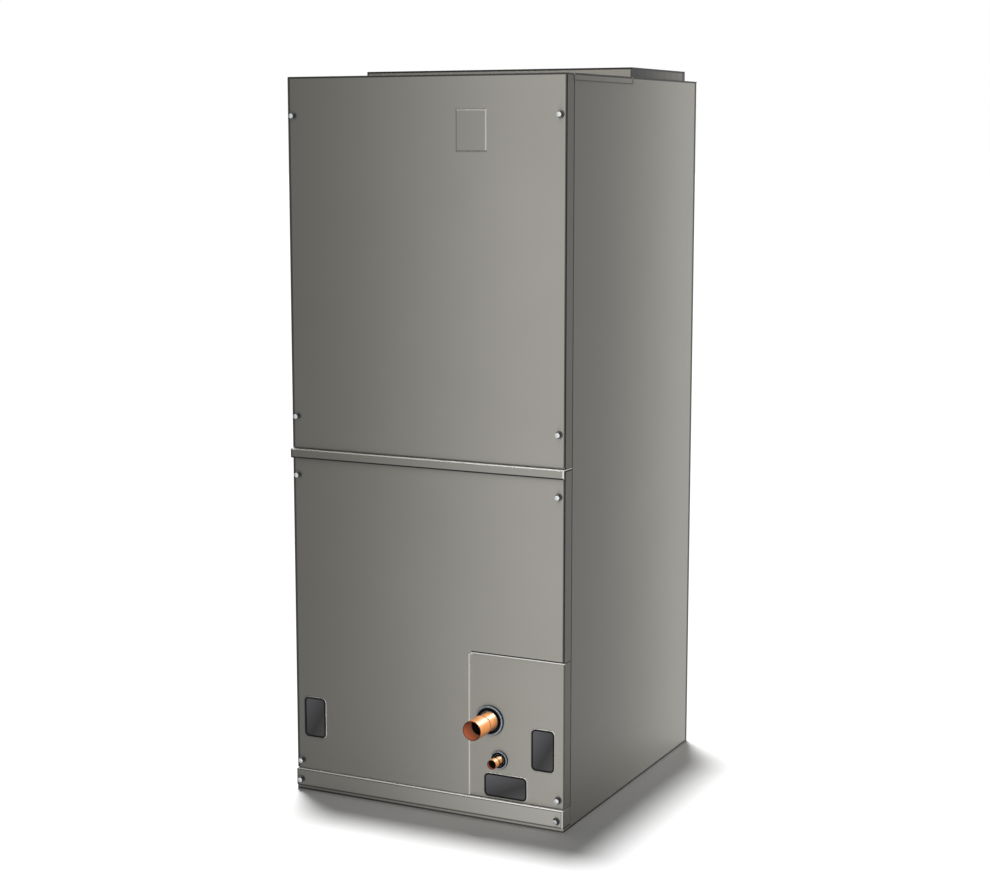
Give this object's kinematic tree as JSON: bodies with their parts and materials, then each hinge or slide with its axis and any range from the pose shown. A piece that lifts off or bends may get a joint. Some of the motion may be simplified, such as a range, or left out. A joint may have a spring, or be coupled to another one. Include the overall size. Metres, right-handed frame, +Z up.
{
  "type": "air handling unit",
  "caption": "Upright sheet steel air handling unit with screwed front panels, a supply duct collar on top, a return opening with a filter below, and copper refrigerant stubs.",
  "frame": {"origin": "centre of the cabinet's footprint at floor level, under the middle of the base frame's lower face", "axes": "+Z up, -Y out of the front panels, +X to the right of someone who faces the front"},
  "size_m": [0.4854, 0.595, 1.1752],
  "materials": {
    "painted_steel": "satin warm grey powder coat",
    "galvanised_steel": "galvanised sheet, dull",
    "motor_paint": "black enamel",
    "copper": "bright drawn copper tube",
    "black_rubber": "moulded rubber with a slight sheen",
    "dark_plastic": "fine grained charcoal plastic",
    "foil_facing": "crinkled foil on glass fibre",
    "filter_card": "plain card",
    "filter_medium": "pleated non-woven medium"
  },
  "bodies": {
    "root": {"left_side_panel": "painted_steel", "right_side_panel": "painted_steel", "back_panel": "painted_steel", "top_cover": "painted_steel", "supply_collar": "painted_steel", "upper_front_panel": "painted_steel", "lower_front_panel": "painted_steel", "line_panel": "painted_steel", "centre_rail": "painted_steel", "filter_door": "painted_steel", "base_frame": "painted_steel", "breaker_cover": "painted_steel", "left_drain_cover": "dark_plastic", "right_drain_cover": "dark_plastic", "low_drain_cover": "dark_plastic", "suction_grommet": "black_rubber", "liquid_grommet": "black_rubber", "suction_stub": "copper", "liquid_stub": "copper", "plenum_bulkhead": "galvanised_steel", "left_liner": "foil_facing", "right_liner": "foil_facing", "back_liner": "foil_facing", "blower_deck": "galvanised_steel", "blower_scroll": "galvanised_steel", "blower_left_cheek": "galvanised_steel", "blower_right_cheek": "galvanised_steel", "blower_wheel": "galvanised_steel", "blower_motor": "motor_paint", "motor_bracket": "galvanised_steel", "filter_border": "filter_card", "filter_medium": "filter_medium"}
  },
  "joints": []
}
